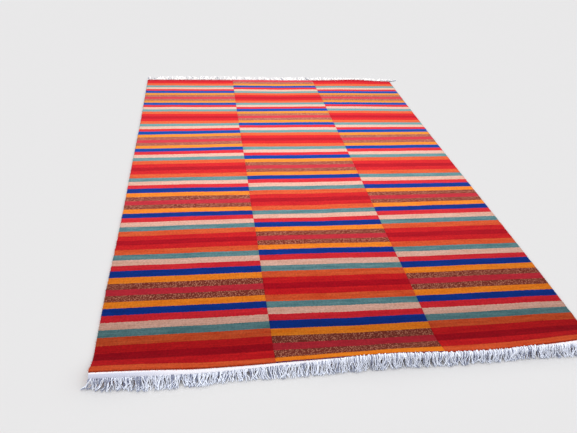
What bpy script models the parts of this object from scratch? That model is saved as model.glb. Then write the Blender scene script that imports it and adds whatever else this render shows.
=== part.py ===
"""A striped Nepalese pile rug, 2 by 3 metres, lying on a floor with its near end curling up.

The knotted pile is one woven piece with two fine grooves between its three panels. A white
flat-woven heading runs along each end, and a knotted edge outside it holds the cotton fringe.

The origin is the middle of the underside. +X runs across to the right, +Y runs along the rug
towards its far end, and +Z is up. Units are metres, and angles are degrees.
"""

import math
import random
from collections import namedtuple

import bmesh
import bpy
from mathutils import Vector

# Driving sizes of the whole rug
WIDTH = 2.0
LENGTH = 3.0
PANELS = 3
NEAR, FAR = -1, 1
GAP = 0.0003
UP = Vector((0, 0, 1))

# Knotted pile on its foundation, with rounded rims and a carved groove between panels
PILE_THICKNESS = 0.010
GROOVE_WIDTH = 0.004
GROOVE_DEPTH = 0.002
STEPS_PER_PANEL = 10
STEPS_ALONG = 8
CURL_LENGTH = 0.16
NEAR_CURL_STEP = 0.02
FAR_CURL_STEP = 0.04

# Flat-woven heading and the knotted edge that carries the fringe
HEADING_THICKNESS = 0.002
HEADING_INSET = 0.001
HEADING_STATIONS = 50
HEADING_STEPS = 4
KNOTTED_EDGE_WIDTH = 0.004
KNOTTED_EDGE_THICKNESS = 0.003

# Fringe locks: each is a tapered four-sided lock of a few warp yarns
NEAR_LOCKS = 120
FAR_LOCKS = 100
LOCK_WIDTH = 0.009
LOCK_TIP_WIDTH = 0.005
LOCK_THICKNESS = 0.003
TIP_SCATTER = 0.006
SIDE_SCATTER = 0.001
SWAY = 0.010
SWAY_PER_METRE = 7.0
SWAY_BEAT_PER_METRE = 4.2
SWAY_BEAT_START = 1.0
SEED = 75

# How far each long edge, and each groove between panels, wanders sideways from straight
LongLine = namedtuple("LongLine", "along left left_groove right_groove right")
LONG_LINES = [
    LongLine(-1.50, 0.003, 0.003, -0.002, -0.004),
    LongLine(-1.30, -0.002, 0.005, 0.003, -0.001),
    LongLine(-1.05, -0.004, 0.003, 0.006, 0.001),
    LongLine(-0.70, 0.001, 0.005, 0.004, 0.000),
    LongLine(-0.35, 0.003, 0.001, 0.008, -0.002),
    LongLine(0.10, 0.001, 0.004, 0.010, -0.006),
    LongLine(0.65, 0.002, -0.001, 0.008, -0.007),
    LongLine(1.15, -0.002, 0.000, 0.004, -0.005),
    LongLine(1.50, -0.005, 0.000, -0.003, 0.000),
]

# Along each end: how high the pile's edge lifts off the floor, how far it is drawn in from a
# straight end line, how wide the heading is, how far the fringe tips lie beyond that line, and
# how far they lean sideways
EndPlace = namedtuple("EndPlace", "across lift drawn_in heading reach lean")
NEAR_END = [
    EndPlace(-1.00, 0.046, 0.000, 0.026, 0.018, -0.042),
    EndPlace(-0.95, 0.045, 0.000, 0.026, 0.034, -0.016),
    EndPlace(-0.88, 0.043, 0.000, 0.026, 0.044, 0.000),
    EndPlace(-0.78, 0.039, 0.001, 0.024, 0.050, 0.000),
    EndPlace(-0.62, 0.028, 0.005, 0.020, 0.046, 0.000),
    EndPlace(-0.45, 0.025, 0.009, 0.016, 0.036, 0.000),
    EndPlace(-0.30, 0.027, 0.011, 0.014, 0.037, 0.000),
    EndPlace(-0.12, 0.033, 0.008, 0.014, 0.034, 0.000),
    EndPlace(0.12, 0.038, 0.005, 0.014, 0.026, 0.000),
    EndPlace(0.35, 0.031, 0.003, 0.014, 0.032, 0.000),
    EndPlace(0.52, 0.028, 0.003, 0.014, 0.028, 0.000),
    EndPlace(0.70, 0.032, 0.006, 0.015, 0.025, 0.000),
    EndPlace(0.90, 0.042, 0.010, 0.021, 0.028, 0.000),
    EndPlace(1.00, 0.046, 0.012, 0.024, 0.030, 0.012),
]
FAR_END = [
    EndPlace(-1.00, 0.000, 0.020, 0.017, 0.066, -0.024),
    EndPlace(-0.90, 0.000, 0.018, 0.017, 0.076, 0.000),
    EndPlace(-0.70, 0.000, 0.012, 0.017, 0.080, 0.000),
    EndPlace(-0.40, 0.000, 0.005, 0.017, 0.086, 0.000),
    EndPlace(-0.15, 0.000, 0.000, 0.017, 0.084, 0.000),
    EndPlace(0.20, 0.001, 0.000, 0.017, 0.082, 0.000),
    EndPlace(0.50, 0.007, 0.000, 0.017, 0.086, 0.000),
    EndPlace(0.68, 0.013, 0.000, 0.017, 0.084, 0.000),
    EndPlace(0.86, 0.005, 0.000, 0.017, 0.076, 0.000),
    EndPlace(0.95, 0.001, 0.000, 0.017, 0.060, 0.026),
    EndPlace(1.00, 0.000, 0.000, 0.017, 0.040, 0.074),
]

# Slope of the underside along a lifting end. A rise holds at full lift, and a fall where the
# end is high enough to droop. The pile ends at 0, and the heading and knotted edge lie past it.
Bend = namedtuple("Bend", "past_pile angle")
END_BENDS = [
    Bend(-0.160, 0),
    Bend(-0.140, 2),
    Bend(-0.100, 15),
    Bend(-0.060, 29),
    Bend(-0.020, 26),
    Bend(0.000, 18),
    Bend(0.006, -15),
    Bend(0.016, -45),
    Bend(0.026, -60),
]
BEND_STEP = 0.002
DROOP_LIFT = 0.022
SHARP_ANGLE = 35

# Course of a fringe lock from its root to its tip, which lies level on the floor
LockStep = namedtuple("LockStep", "out height")
NEAR_LOCK = [LockStep(0.38, 0.42), LockStep(0.70, 0.0), LockStep(1.0, 0.0)]
FAR_LOCK = [LockStep(0.45, 0.0), LockStep(1.0, 0.0)]

# Rim of the pile: distance in from the edge, and the share of the full thickness there
Rim = namedtuple("Rim", "inset height")
PILE_RIM = [Rim(0.0, 0.55), Rim(0.0012, 0.85), Rim(0.004, 1.0)]


def clear_scene():
    """Removes every object that the scene starts with."""
    for leftover in list(bpy.data.objects):
        bpy.data.objects.remove(leftover, do_unlink=True)


def smooth_value(rows, column, place):
    """Value of a table's column at a place between its rows, on a smooth curve through them."""
    places = [row[0] for row in rows]
    values = [getattr(row, column) for row in rows]
    place = min(max(place, places[0]), places[-1])
    last = len(rows) - 1
    i = max(k for k in range(last) if places[k] <= place)
    span = places[i + 1] - places[i]
    share = (place - places[i]) / span
    slopes = []
    for k in (i, i + 1):
        before, after = max(k - 1, 0), min(k + 1, last)
        slopes.append((values[after] - values[before]) / (places[after] - places[before]))
    rise = share * share * (3 - 2 * share)
    start_pull = share * (1 - share) ** 2 * span * slopes[0]
    end_pull = share * share * (share - 1) * span * slopes[1]
    return values[i] * (1 - rise) + values[i + 1] * rise + start_pull + end_pull


def walk_end(lift_scale, droop_scale, past_pile):
    """Follows the underside from the foot of the curl: distance out, height and angle."""
    steps = round((past_pile + CURL_LENGTH) / BEND_STEP)
    length = (past_pile + CURL_LENGTH) / max(steps, 1)
    out, height, angle = -CURL_LENGTH, 0.0, 0.0
    for k in range(steps):
        place = -CURL_LENGTH + (k + 0.5) * length
        slope = smooth_value(END_BENDS, "angle", place)
        angle = math.radians(slope * (lift_scale if slope > 0 else droop_scale))
        out += length * math.cos(angle)
        height += length * math.sin(angle)
    return out, height, angle


FULL_LIFT = walk_end(1.0, 1.0, 0.0)[1]


def end_value(end, column, across):
    """Value of an end's own table at a place across the rug."""
    return smooth_value(NEAR_END if end == NEAR else FAR_END, column, across)


def end_point(end, across, past_pile, thickness=0.0):
    """Point over an end's underside at a distance past the pile's edge, raised by a thickness."""
    lift = max(end_value(end, "lift", across), 0.0)
    droop_scale = min(1.0, lift / DROOP_LIFT)
    out, height, angle = walk_end(lift / FULL_LIFT, droop_scale, past_pile)
    out -= thickness * math.sin(angle) + end_value(end, "drawn_in", across)
    height += thickness * math.cos(angle)
    return Vector((across, end * (LENGTH / 2 + out), height))


def edge_place(share, along, inset=0.0):
    """Place across the rug at a share of its width from the left edge, moved in by an inset."""
    panel = min(int(share * PANELS + 1e-6), PANELS - 1)
    lines = LongLine._fields[1:]
    start, stop = (
        WIDTH * (line / PANELS - 0.5) + smooth_value(LONG_LINES, lines[line], along)
        for line in (panel, panel + 1)
    )
    return start + (share * PANELS - panel) * (stop - start) + inset


def fabric(name, colour, roughness):
    """Matt woven material with one base colour."""
    material = bpy.data.materials.new(name)
    material.use_nodes = True
    shader = material.node_tree.nodes["Principled BSDF"]
    shader.inputs["Base Color"].default_value = (*colour, 1.0)
    shader.inputs["Roughness"].default_value = roughness
    shader.inputs["Metallic"].default_value = 0.0
    return material


def add_object(name, shape, material):
    """Turns a closed bmesh into a named object with its faces pointing out."""
    bmesh.ops.recalc_face_normals(shape, faces=shape.faces)
    mesh = bpy.data.meshes.new(name)
    shape.to_mesh(mesh)
    shape.free()
    mesh.materials.append(material)
    mesh.shade_smooth()
    mesh.set_sharp_from_angle(angle=math.radians(SHARP_ANGLE))
    piece = bpy.data.objects.new(name, mesh)
    bpy.context.scene.collection.objects.link(piece)
    return piece


def sheet(name, rows, material):
    """Closed sheet from rows of (under, over) point pairs."""
    shape = bmesh.new()
    under = [[shape.verts.new(pair[0]) for pair in row] for row in rows]
    over = [[shape.verts.new(pair[1]) for pair in row] for row in rows]
    for i in range(len(rows) - 1):
        for j in range(len(rows[0]) - 1):
            for side in (under, over):
                shape.faces.new((side[i][j], side[i][j + 1], side[i + 1][j + 1], side[i + 1][j]))
    rim = [(0, j) for j in range(len(rows[0]))]
    rim += [(i, -1) for i in range(1, len(rows))]
    rim += [(-1, j) for j in range(len(rows[0]) - 2, -1, -1)]
    rim += [(i, 0) for i in range(len(rows) - 2, 0, -1)]
    for (i, j), (m, n) in zip(rim, rim[1:] + rim[:1]):
        shape.faces.new((under[i][j], under[m][n], over[m][n], over[i][j]))
    return add_object(name, shape, material)


def pile_columns():
    """Share across, inset and height share of each line of points along the rug."""
    columns = [(0.0, rim.inset, rim.height) for rim in PILE_RIM]
    steps = PANELS * STEPS_PER_PANEL
    for k in range(1, steps):
        share = k / steps
        if k % STEPS_PER_PANEL == 0:
            columns.append((share, -GROOVE_WIDTH / 2, 1.0))
            columns.append((share, 0.0, 1.0 - GROOVE_DEPTH / PILE_THICKNESS))
            columns.append((share, GROOVE_WIDTH / 2, 1.0))
        else:
            columns.append((share, 0.0, 1.0))
    columns += [(1.0, -rim.inset, rim.height) for rim in reversed(PILE_RIM)]
    return columns


def pile_end_row(end, inset, height):
    """Row of the pile's point pairs at a distance in from one end's edge."""
    row = []
    for share, side_inset, column_height in pile_columns():
        across = edge_place(share, end * (LENGTH / 2 - inset), side_inset)
        thickness = PILE_THICKNESS * min(height, column_height)
        row.append((end_point(end, across, -inset), end_point(end, across, -inset, thickness)))
    return row


def pile_flat_row(along):
    """Row of the pile's point pairs where it lies flat on the floor."""
    row = []
    for share, side_inset, column_height in pile_columns():
        under = Vector((edge_place(share, along, side_inset), along, 0.0))
        row.append((under, under + UP * PILE_THICKNESS * column_height))
    return row


def pile_field():
    """The whole knotted field, from the near end to the far end."""
    wool = fabric("wool_pile", (0.52, 0.06, 0.05), 0.95)
    ends = {}
    for end, step in ((NEAR, NEAR_CURL_STEP), (FAR, FAR_CURL_STEP)):
        insets = [(rim.inset, rim.height) for rim in PILE_RIM]
        insets += [(k * step, 1.0) for k in range(1, round(CURL_LENGTH / step) + 1)]
        ends[end] = [pile_end_row(end, inset, height) for inset, height in insets]
    flat_length = LENGTH - 2 * CURL_LENGTH
    flat_places = [flat_length * (k / STEPS_ALONG - 0.5) for k in range(1, STEPS_ALONG)]
    flat_rows = [pile_flat_row(along) for along in flat_places]
    return sheet("pile_field", ends[NEAR] + flat_rows + ends[FAR][::-1], wool)


def heading(name, end):
    """White flat-woven band along one end, a hair outside the pile's edge."""
    cotton = fabric(f"cotton_{name}", (0.80, 0.80, 0.82), 0.90)
    rows = []
    for k in range(HEADING_STEPS + 1):
        row = []
        for j in range(HEADING_STATIONS + 1):
            share = j / HEADING_STATIONS
            inset = HEADING_INSET * (1 - 2 * share)
            across = edge_place(share, end * LENGTH / 2, inset)
            past_pile = GAP + k * end_value(end, "heading", across) / HEADING_STEPS
            over = end_point(end, across, past_pile, HEADING_THICKNESS)
            row.append((end_point(end, across, past_pile), over))
        rows.append(row)
    return sheet(name, rows, cotton)


def lock_sway(across, draw):
    """Slow side to side sway of the locks along the rug, with a little scatter of each lock."""
    beat = math.cos(SWAY_BEAT_PER_METRE * across + SWAY_BEAT_START)
    return SWAY * math.sin(SWAY_PER_METRE * across) * beat + draw.uniform(-SIDE_SCATTER, SIDE_SCATTER)


def lock_ring(shape, centre, side, normal, width):
    """Four corners of a lock's cross-section, in the order of the knotted edge's outer face."""
    half_width = side * width / 2
    half_thickness = normal * LOCK_THICKNESS / 2
    corners = (-half_width - half_thickness, half_width - half_thickness)
    corners += (half_width + half_thickness, -half_width + half_thickness)
    return [shape.verts.new(centre + corner) for corner in corners]


def add_lock(shape, root, end, course, draw):
    """Grows one tapered lock from its four root corners out to its tip on the floor."""
    start = sum((corner.co for corner in root), Vector()) / len(root)
    root_normal = (root[3].co - root[0].co).normalized()
    reach = end_value(end, "reach", start.x) + draw.uniform(-TIP_SCATTER, TIP_SCATTER)
    lean = end_value(end, "lean", start.x) + lock_sway(start.x, draw)
    tip = Vector((start.x + lean, end * (LENGTH / 2 + reach), LOCK_THICKNESS / 2))
    run = Vector((tip.x - start.x, tip.y - start.y, 0))
    side = Vector((abs(run.y), -end * run.x, 0)).normalized()
    ring = root
    for step in course:
        centre = start + run * step.out
        centre.z = tip.z + (start.z - tip.z) * step.height
        normal = UP.lerp(root_normal, step.height).normalized()
        width = LOCK_WIDTH + (LOCK_TIP_WIDTH - LOCK_WIDTH) * step.out
        outer = lock_ring(shape, centre, side, normal, width)
        for k in range(len(ring)):
            n = (k + 1) % len(ring)
            shape.faces.new((ring[k], ring[n], outer[n], outer[k]))
        ring = outer
    shape.faces.new(ring)


def fringe(name, end, locks, course):
    """Knotted edge along one end's heading, with its row of separate fringe locks."""
    cotton = fabric(f"cotton_{name}", (0.74, 0.77, 0.86), 0.92)
    draw = random.Random(SEED + end)
    left = edge_place(0.0, end * LENGTH / 2, HEADING_INSET)
    right = edge_place(1.0, end * LENGTH / 2, -HEADING_INSET)
    pitch = (right - left) / locks
    stations = [left]
    for k in range(locks):
        middle = left + (k + 0.5) * pitch
        stations += [middle - LOCK_WIDTH / 2, middle + LOCK_WIDTH / 2]
    stations.append(right)

    shape = bmesh.new()
    rings = []
    for across in stations:
        inner_place = end_value(end, "heading", across) + 2 * GAP
        outer_place = inner_place + KNOTTED_EDGE_WIDTH
        inner_under = end_point(end, across, inner_place)
        inner_over = end_point(end, across, inner_place, KNOTTED_EDGE_THICKNESS)
        outer_under = end_point(end, across, outer_place)
        outer_over = end_point(end, across, outer_place, KNOTTED_EDGE_THICKNESS)
        corners = (inner_under, outer_under, outer_over, inner_over)
        rings.append([shape.verts.new(corner) for corner in corners])
    shape.faces.new(rings[0])
    shape.faces.new(rings[-1])
    for i, (a, b) in enumerate(zip(rings, rings[1:])):
        carries_lock = i % 2 == 1
        for k in range(4):
            n = (k + 1) % 4
            if k == 1 and carries_lock:
                add_lock(shape, (a[1], b[1], b[2], a[2]), end, course, draw)
            else:
                shape.faces.new((a[k], b[k], b[n], a[n]))
    return add_object(name, shape, cotton)


clear_scene()
pile_field()
heading("heading_near", NEAR)
heading("heading_far", FAR)
fringe("fringe_near", NEAR, NEAR_LOCKS, NEAR_LOCK)
fringe("fringe_far", FAR, FAR_LOCKS, FAR_LOCK)
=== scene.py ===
"""The looks of a striped Nepalese pile rug, 2 by 3 metres, lying on a pale floor.

The sections follow the rug as it is woven and finished: knotted pile, woollen rim, cotton
headings, knotted edges, fringe, and then the studio. Units are metres, unless a line says
otherwise. +X runs across the rug, +Y along it towards its far end, and +Z is up.
"""

import math
import random
from collections import namedtuple

import bpy
import numpy as np
from bmesh import new as new_bmesh
from bmesh.ops import remove_doubles
from mathutils import Matrix, Vector, noise
from mathutils.bvhtree import BVHTree


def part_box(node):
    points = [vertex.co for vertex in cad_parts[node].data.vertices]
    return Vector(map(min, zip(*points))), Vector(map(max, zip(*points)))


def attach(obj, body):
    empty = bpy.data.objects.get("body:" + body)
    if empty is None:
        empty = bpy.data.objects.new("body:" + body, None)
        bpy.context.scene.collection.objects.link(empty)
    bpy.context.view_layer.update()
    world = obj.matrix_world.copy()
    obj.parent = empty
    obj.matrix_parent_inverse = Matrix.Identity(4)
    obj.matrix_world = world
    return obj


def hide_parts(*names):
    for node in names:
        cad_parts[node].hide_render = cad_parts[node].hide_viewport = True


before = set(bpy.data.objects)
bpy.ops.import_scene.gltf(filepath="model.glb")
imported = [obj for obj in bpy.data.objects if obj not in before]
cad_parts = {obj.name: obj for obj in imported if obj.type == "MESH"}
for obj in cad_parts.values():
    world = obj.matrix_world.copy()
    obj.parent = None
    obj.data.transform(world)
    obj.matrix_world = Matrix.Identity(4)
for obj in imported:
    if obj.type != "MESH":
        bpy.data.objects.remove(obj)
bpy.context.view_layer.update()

# The knotted pile is wool, tied in rows of knots round a cotton foundation and clipped 10 mm
# high. It is one woven piece with 75 cross stripes, and a groove is clipped along the two lines
# that part it into panels. The stripes of the middle panel are shifted by half a repeat.

WIDTH, LENGTH, PANELS = 2.0, 3.0, 3
STRIPE = 0.040
KNOT_RIDGE = 0.010
RIDGE_HEIGHT = 0.00035
STEPS_PER_PANEL = 40
RIM_INSETS = (0.0004, 0.0012, 0.0025, 0.0040)
GROOVE_HALF_WIDTH, GROOVE_SEARCH = 0.002, 0.016
DRAWN_IN, EDGE_STATIONS = 0.030, 86
SIDE_SEARCH, END_SEARCH, SEARCH_STEPS = (0.9, 1.1), (1.4, 1.6), 24
PATH_POINTS = 401
BACK_STEP = 4
UNEVEN_HEIGHT, UNEVEN_PER_METRE = 0.0005, 7.0
EDGE_WANDER, EDGE_WANDER_PER_METRE, EDGE_WANDER_DEPTH, LEFT_EDGE_APART = 0.0018, 28.0, 0.03, 9.0
CURL_SOFTENING_PASSES = 8
SHARP_ANGLE = math.radians(50)
FIBRE_SHINE, SHEEN_ROUGHNESS = 0.05, 0.6

# How far the stripes bow towards the far end, at places along the rug from its near end
Bow = namedtuple("Bow", "along left left_groove middle right_groove right")
BOW_PLACES = (0.07, 0.67, 1.0, 1.33, 1.93)
BOWS = [
    Bow(0.04, -0.004, -0.007, -0.010, -0.004, 0.005),
    Bow(0.10, 0.004, 0.007, 0.000, 0.003, 0.010),
    Bow(0.30, 0.007, 0.009, 0.002, -0.002, -0.002),
    Bow(0.50, 0.002, 0.002, -0.002, -0.007, -0.005),
    Bow(0.70, 0.004, 0.006, 0.006, -0.005, -0.005),
    Bow(0.90, -0.014, -0.003, -0.008, -0.009, -0.004),
    Bow(1.10, -0.017, -0.012, -0.015, -0.008, 0.002),
    Bow(1.30, -0.014, -0.011, -0.012, -0.008, -0.007),
    Bow(1.50, -0.014, -0.003, -0.003, 0.003, 0.002),
    Bow(1.90, -0.017, 0.010, 0.010, 0.009, 0.022),
    Bow(2.30, -0.006, 0.001, 0.012, 0.020, 0.014),
    Bow(2.50, -0.009, -0.001, 0.008, 0.021, 0.018),
    Bow(2.70, -0.019, -0.007, -0.009, 0.007, 0.012),
    Bow(2.90, -0.025, -0.015, -0.014, -0.003, 0.007),
]

# Painted light and shade of the nap: how much lighter or darker the wool is painted from the near end up to
# each place along it
PaintedNapFade = namedtuple("PaintedNapFade", "start stop change")
FAR_PAINTED_NAP = 0.94
PAINTED_NAP_FADES = [
    PaintedNapFade(0.038, 0.042, 0.22),
    PaintedNapFade(0.078, 0.084, 0.21),
    PaintedNapFade(0.200, 0.300, -0.13),
    PaintedNapFade(0.550, 0.850, -0.08),
    PaintedNapFade(1.900, 2.700, 0.06),
]

# Two lots of each dye along the rug, and far colours that paint the sheen of its nap, the paler tips it
# shows towards the far end
Dye = namedtuple("Dye", "first second far")
DYES = {
    "orange": Dye((217, 95, 56), (203, 73, 42), (204, 92, 56)),
    "red": Dye((206, 38, 41), (187, 28, 36), (196, 34, 40)),
    "dark red": Dye((177, 22, 36), (161, 17, 32), (172, 22, 38)),
    "teal": Dye((75, 118, 124), (105, 141, 145), (108, 150, 150)),
    "cream": Dye((222, 177, 161), (212, 160, 140), (198, 168, 153)),
    "crimson": Dye((213, 49, 57), (197, 38, 50), (197, 44, 53)),
    "blue": Dye((14, 54, 142), (10, 44, 121), (0, 76, 160)),
    "saffron": Dye((238, 138, 47), (230, 119, 37), (197, 132, 52)),
    "tweed": Dye((122, 52, 42), (195, 128, 103), (196, 126, 104)),
    "raspberry": Dye((194, 50, 62), (180, 43, 56), (194, 58, 70)),
}
REPEAT = (
    "orange", "red", "dark red", "red", "orange", "teal", "cream", "crimson", "blue",
    "saffron", "tweed", "raspberry", "tweed", "saffron", "blue", "crimson", "cream", "teal",
)
# Stripes that are a little wider or narrower than the rest
WIDTHS = {"crimson": 0.95, "blue": 1.10, "saffron": 0.95}
WANDER_SHARE, JAG_SHARE, STRIPE_MARGIN = 0.22, 0.14, 0.01
LOT_RANGE = (0.38, 0.64)
FAR_SHEEN_BETWEEN, FAR_SHEEN_SHARE, LESS_IN_TWEED = (1.0, 2.4), 0.75, 0.4
# Painted shade on the near rim, where the pile's edge and side are in shade
PAINTED_RIM_SHADE, PAINTED_RIM_SHADE_DEPTH, PAINTED_RIM_SHADE_SHARE = (128, 28, 30), (0.001, 0.006), 0.6
BARE_WARP, BARE_WARP_SHARE = (222, 212, 198), 0.22
# Painted sheen: richer colour at the near end, where the nap shows less sheen
NEAR_RICHNESS, RICHNESS_FADE = 0.015, (0.3, 1.3)

# How much the tone of the wool changes from knot to knot and between its other small marks, and the painted
# shade of the valleys between rows of knots
KNOT_CHANGE, FUZZ_CHANGE, CLUMP_CHANGE, VALLEY_PAINTED_SHADE = 0.14, 0.16, 0.62, 0.05

# Marks in the wool, in spots a metre across the rug and along it
STRIPE_WANDER, STRIPE_JAG = (3.5, 1.2, 1.0), (160.0, 20.0, 1.0)
DYE_STREAKS, DYE_PATCHES = (5.0, 70.0, 1.0), (16.0, 34.0, 1.0)
KNOTS, CLUMPS, FUZZ = (250.0, 250.0, 0.0), (110.0, 90.0, 1.0), (420.0, 300.0, 1.0)
FLECKS, FLECK_SLANT, FLECK_SIZE = (180.0, 180.0, 0.0), 0.5, 0.38
KNOT_BUMPS = (330.0, 330.0, 0.0)


class Solid:
    """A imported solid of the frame, read by rays that are dropped on it or sent up at it."""

    def __init__(self, node):
        shape = new_bmesh()
        shape.from_mesh(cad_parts[node].data)
        remove_doubles(shape, verts=shape.verts, dist=1e-6)
        self.tree = BVHTree.FromBMesh(shape)
        shape.free()

    def height(self, x, y, from_above=True):
        """Height of the solid's upper or lower face at a place, or None beside the solid."""
        start = 1.0 if from_above else -1.0
        hit = self.tree.ray_cast((x, y, start), (0, 0, -start))[0]
        return None if hit is None else hit.z

    def last_place(self, place, inside, outside):
        """Last value from an inside one towards an outside one whose place meets the solid."""
        for _ in range(SEARCH_STEPS):
            middle = (inside + outside) / 2
            if self.height(*place(middle)) is None:
                outside = middle
            else:
                inside = middle
        return inside


def closed_cloth(name, grid, back_step, materials):
    """Closed sheet from a grid of x, y, top and under heights, with flat as its UV map in metres.

    Its underside has only every back_step-th row and column, and n-gons close its four sides."""
    rows, columns = grid["top"].shape
    back_rows = sorted({*range(0, rows, back_step), rows - 1})
    back_columns = sorted({*range(0, columns, back_step), columns - 1})
    over = np.arange(rows * columns).reshape(rows, columns)
    under = rows * columns + np.arange(len(back_rows) * len(back_columns))
    under = under.reshape(len(back_rows), len(back_columns))
    back = np.ix_(back_rows, back_columns)

    def stacked(*fields):
        return np.stack(fields, -1).reshape(-1, len(fields))

    points = np.concatenate([
        stacked(grid["x"], grid["y"], grid["top"]),
        stacked(grid["x"][back], grid["y"][back], grid["under"][back]),
    ])
    flat = np.concatenate([
        stacked(grid["across"], grid["along"]),
        stacked(grid["across"][back], grid["along"][back]),
    ])
    faces = stacked(over[:-1, :-1], over[:-1, 1:], over[1:, 1:], over[1:, :-1]).tolist()
    sides = (
        (over[0], under[0], back_columns, False),
        (over[:, -1], under[:, -1], back_rows, False),
        (over[-1], under[-1], back_columns, True),
        (over[:, 0], under[:, 0], back_rows, True),
    )
    for upper, lower, places, turned in sides:
        for k, (start, stop) in enumerate(zip(places, places[1:])):
            wall = [lower[k], lower[k + 1], *upper[start:stop + 1][::-1]]
            faces.append([int(v) for v in (wall[::-1] if turned else wall)])
    back_faces = stacked(under[:-1, :-1], under[1:, :-1], under[1:, 1:], under[:-1, 1:]).tolist()
    mesh = bpy.data.meshes.new(name)
    mesh.from_pydata(points.tolist(), [], faces + back_faces)
    for material in materials:
        mesh.materials.append(material)
    slots = [0] * len(faces) + [len(materials) - 1] * len(back_faces)
    mesh.polygons.foreach_set("material_index", slots)
    corners = np.zeros(len(mesh.loops), int)
    mesh.loops.foreach_get("vertex_index", corners)
    mesh.uv_layers.new(name="flat").uv.foreach_set("vector", flat[corners].ravel())
    mesh.shade_smooth()
    mesh.set_sharp_from_angle(angle=SHARP_ANGLE)
    piece = bpy.data.objects.new(name, mesh)
    bpy.context.scene.collection.objects.link(piece)
    return piece


class Wire:
    """One output of a node, which takes part in sums as a number does."""

    def __init__(self, nodes, socket):
        self.nodes = nodes
        self.socket = socket

    def other(self, name):
        """Another output of the same node."""
        return Wire(self.nodes, self.socket.node.outputs[name])

    def math(self, operation, *values):
        """Result of a Math node on this value and up to two more."""
        sockets = dict(enumerate((self, *values)))
        return self.nodes.add("ShaderNodeMath", {"operation": operation}, sockets)

    def __add__(self, value):
        return self.math("ADD", value)

    def __sub__(self, value):
        return self.math("SUBTRACT", value)

    def __rsub__(self, value):
        return self.nodes.add("ShaderNodeMath", {"operation": "SUBTRACT"}, {0: value, 1: self})

    def __mul__(self, value):
        return self.math("MULTIPLY", value)

    def __truediv__(self, value):
        return self.math("DIVIDE", value)

    def __mod__(self, value):
        return self.math("FLOORED_MODULO", value)

    def __gt__(self, value):
        return self.math("GREATER_THAN", value)

    def __lt__(self, value):
        return self.math("LESS_THAN", value)

    __radd__ = __add__
    __rmul__ = __mul__


class Nodes:
    """Adds nodes to a material or to a Geometry Nodes tree."""

    def __init__(self, tree):
        self.tree = tree

    def add(self, kind, settings=None, sockets=None, out=0):
        """New node with its settings made first, then its sockets set or linked."""
        node = self.tree.nodes.new(kind)
        for name, value in (settings or {}).items():
            if name == "stops":
                self.set_stops(node.color_ramp, value)
            else:
                setattr(node, name, value)
        self.join(node, sockets or {})
        return Wire(self, node.outputs[out]) if len(node.outputs) else node

    def join(self, node, sockets):
        """Sets or links a node's sockets."""
        for name, value in sockets.items():
            if isinstance(value, Wire):
                self.tree.links.new(value.socket, node.inputs[name])
            else:
                node.inputs[name].default_value = value

    def set_stops(self, ramp, stops):
        """Hard-edged steps of colour along a ramp, from the place where each one starts."""
        ramp.interpolation = "CONSTANT"
        while len(ramp.elements) < len(stops):
            ramp.elements.new(1.0)
        for element, (start, colour) in zip(ramp.elements, stops):
            element.position = start
            element.color = colour

    def stretched(self, vector, scales):
        """Vector with each of its parts times a scale of its own."""
        return self.add("ShaderNodeVectorMath", {"operation": "MULTIPLY"}, {0: vector, 1: scales})

    def cloudy(self, vector, scales, detail=2.0):
        """Soft random value around 0.5, at so many spots a metre each way."""
        place = self.stretched(vector, scales)
        return self.add("ShaderNodeTexNoise", None, {"Vector": place, "Scale": 1.0, "Detail": detail})

    def fading(self, value, start, stop):
        """One up to the start, nothing past the stop, and a smooth fall between them."""
        return self.add("ShaderNodeMapRange", {"interpolation_type": "SMOOTHSTEP"}, {
            "Value": value, "From Min": start, "From Max": stop, "To Min": 1.0, "To Max": 0.0,
        })

    def mixed(self, first, second, share):
        """Colour between two colours."""
        sockets = {"Factor": share, 6: first, 7: second}
        return self.add("ShaderNodeMix", {"data_type": "RGBA"}, sockets, out=2)

    def toned(self, colour, brightness, richness=1.0):
        """Colour times a brightness and a richness."""
        sockets = {"Color": colour, "Value": brightness, "Saturation": richness}
        return self.add("ShaderNodeHueSaturation", None, sockets)

    def attribute(self, name, out="Fac"):
        """Value that the mesh carries at each of its points."""
        return self.add("ShaderNodeAttribute", {"attribute_name": name}, out=out)

    def bump(self, height, strength, distance):
        """Normal of a surface that a height makes rough."""
        sockets = {"Strength": strength, "Distance": distance, "Height": height}
        return self.add("ShaderNodeBump", None, sockets)


def dyed(colour):
    """Linear colour with alpha from a dye as it is seen, 0 to 255 a channel."""
    shares = [channel / 255 for channel in colour]
    linear = [s / 12.92 if s <= 0.04045 else ((s + 0.055) / 1.055) ** 2.4 for s in shares]
    return (*linear, 1.0)


def finish(name, roughness, sheen, tint):
    """Matt fibre material, its nodes and its shader, with a soft sheen of loose fibres."""
    material = bpy.data.materials.new(name)
    material.use_nodes = True
    shader = material.node_tree.nodes["Principled BSDF"]
    shader.inputs["Roughness"].default_value = roughness
    shader.inputs["Specular IOR Level"].default_value = FIBRE_SHINE
    shader.inputs["Sheen Weight"].default_value = sheen
    shader.inputs["Sheen Roughness"].default_value = SHEEN_ROUGHNESS
    shader.inputs["Sheen Tint"].default_value = (*tint, 1.0)
    return material, Nodes(material.node_tree), shader


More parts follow.
